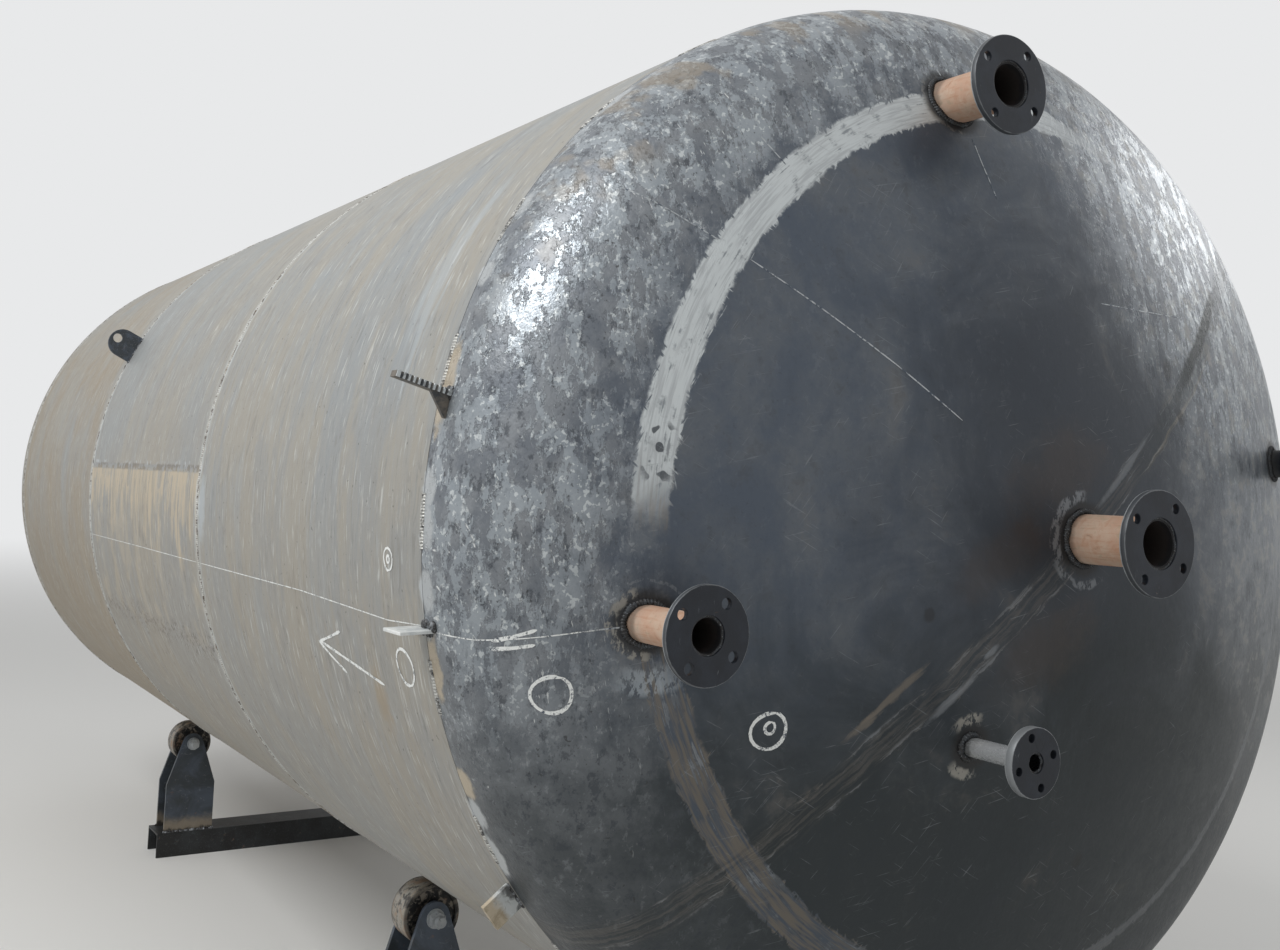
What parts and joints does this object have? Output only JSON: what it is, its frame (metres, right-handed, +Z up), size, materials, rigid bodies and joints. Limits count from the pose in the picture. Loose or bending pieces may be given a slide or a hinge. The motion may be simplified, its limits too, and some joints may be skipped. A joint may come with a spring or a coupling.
{
  "type": "horizontal pressure tank",
  "caption": "Horizontal cylindrical pressure tank with dished ends and flanged nozzles on one head, lying on idler roller stands.",
  "frame": {"origin": "on the floor under the middle of the overall length", "axes": "+X along the tank axis towards the head with the nozzles, +Z up, +Y to the right seen from that head"},
  "size_m": [5.7556, 2.327, 2.5409],
  "materials": {
    "shell_plate": "weathered plate with streaks",
    "shell_plate_patched": "weathered plate with a tan rusty area",
    "shell_plate_tan": "tan, lightly rusted plate",
    "head_scale": "dark blue-grey mill scale with ground bands",
    "head_tan": "tan, lightly rusted plate",
    "weld_metal": "brushed weld bead",
    "nozzle_weld": "scorched weld bead",
    "pipe_primer": "matt salmon primer",
    "pipe_dark": "dark varnished pipe without primer",
    "pipe_bright": "bare bright pipe",
    "flange_black": "blue-black varnish",
    "lug_steel": "dark scale",
    "cut_plate": "dark scale with rough cut edges",
    "tab_bright": "ground bright",
    "tab_tan": "tan with light rust",
    "stand_base": "worn black paint",
    "stand_bracket": "dark scale with scorch marks",
    "axle_steel": "greasy, lightly rusted",
    "roller_steel": "worn, lightly rusted tread"
  },
  "bodies": {
    "stands": {"base_front": "stand_base", "base_rear": "stand_base", "brackets_front_left": "stand_bracket", "brackets_front_right": "stand_bracket", "brackets_rear_left": "stand_bracket", "brackets_rear_right": "stand_bracket", "axle_front_left": "axle_steel", "axle_front_right": "axle_steel", "axle_rear_left": "axle_steel", "axle_rear_right": "axle_steel"},
    "vessel": {"shell_front": "shell_plate", "shell_middle": "shell_plate_patched", "shell_rear": "shell_plate_tan", "head_front": "head_scale", "head_rear": "head_tan", "seam_tacks_front": "weld_metal", "seam_weld_middle": "weld_metal", "seam_weld_rear": "weld_metal", "seam_weld_rear_head": "weld_metal", "pipe_centre": "pipe_primer", "pipe_top": "pipe_primer", "pipe_side": "pipe_primer", "pipe_right": "pipe_dark", "pipe_low": "pipe_bright", "flange_centre": "flange_black", "flange_top": "flange_black", "flange_side": "flange_black", "flange_right": "flange_black", "flange_low": "flange_black", "welds_centre": "nozzle_weld", "welds_top": "nozzle_weld", "welds_side": "nozzle_weld", "welds_right": "nozzle_weld", "welds_low": "nozzle_weld", "lug_left": "lug_steel", "lug_right": "lug_steel", "dog_left": "cut_plate", "dog_right": "cut_plate", "tab_left": "tab_bright", "tab_right": "tab_bright", "square_left": "tab_tan", "square_right": "tab_tan"},
    "roller_front_left_body": {"roller_front_left": "roller_steel"},
    "roller_front_right_body": {"roller_front_right": "roller_steel"},
    "roller_rear_left_body": {"roller_rear_left": "roller_steel"},
    "roller_rear_right_body": {"roller_rear_right": "roller_steel"}
  },
  "joints": [
    {"name": "vessel_turn", "type": "hinge", "parent": "stands", "child": "vessel", "pos_m": [0, 0, 1.45542], "axis": [1, 0, 0], "continuous": true},
    {"name": "roller_front_left_spin", "type": "hinge", "parent": "stands", "child": "roller_front_left_body", "pos_m": [1.087, -0.53484, 0.428], "axis": [1, 0, 0], "continuous": true},
    {"name": "roller_front_right_spin", "type": "hinge", "parent": "stands", "child": "roller_front_right_body", "pos_m": [1.087, 0.53484, 0.428], "axis": [1, 0, 0], "continuous": true},
    {"name": "roller_rear_left_spin", "type": "hinge", "parent": "stands", "child": "roller_rear_left_body", "pos_m": [-1.311, -0.53484, 0.428], "axis": [1, 0, 0], "continuous": true},
    {"name": "roller_rear_right_spin", "type": "hinge", "parent": "stands", "child": "roller_rear_right_body", "pos_m": [-1.311, 0.53484, 0.428], "axis": [1, 0, 0], "continuous": true}
  ],
  "couplings": [
    {"joint": "roller_front_left_spin", "follows": "vessel_turn", "ratio": -14.44},
    {"joint": "roller_front_right_spin", "follows": "vessel_turn", "ratio": -14.44},
    {"joint": "roller_rear_left_spin", "follows": "vessel_turn", "ratio": -14.44},
    {"joint": "roller_rear_right_spin", "follows": "vessel_turn", "ratio": -14.44}
  ]
}
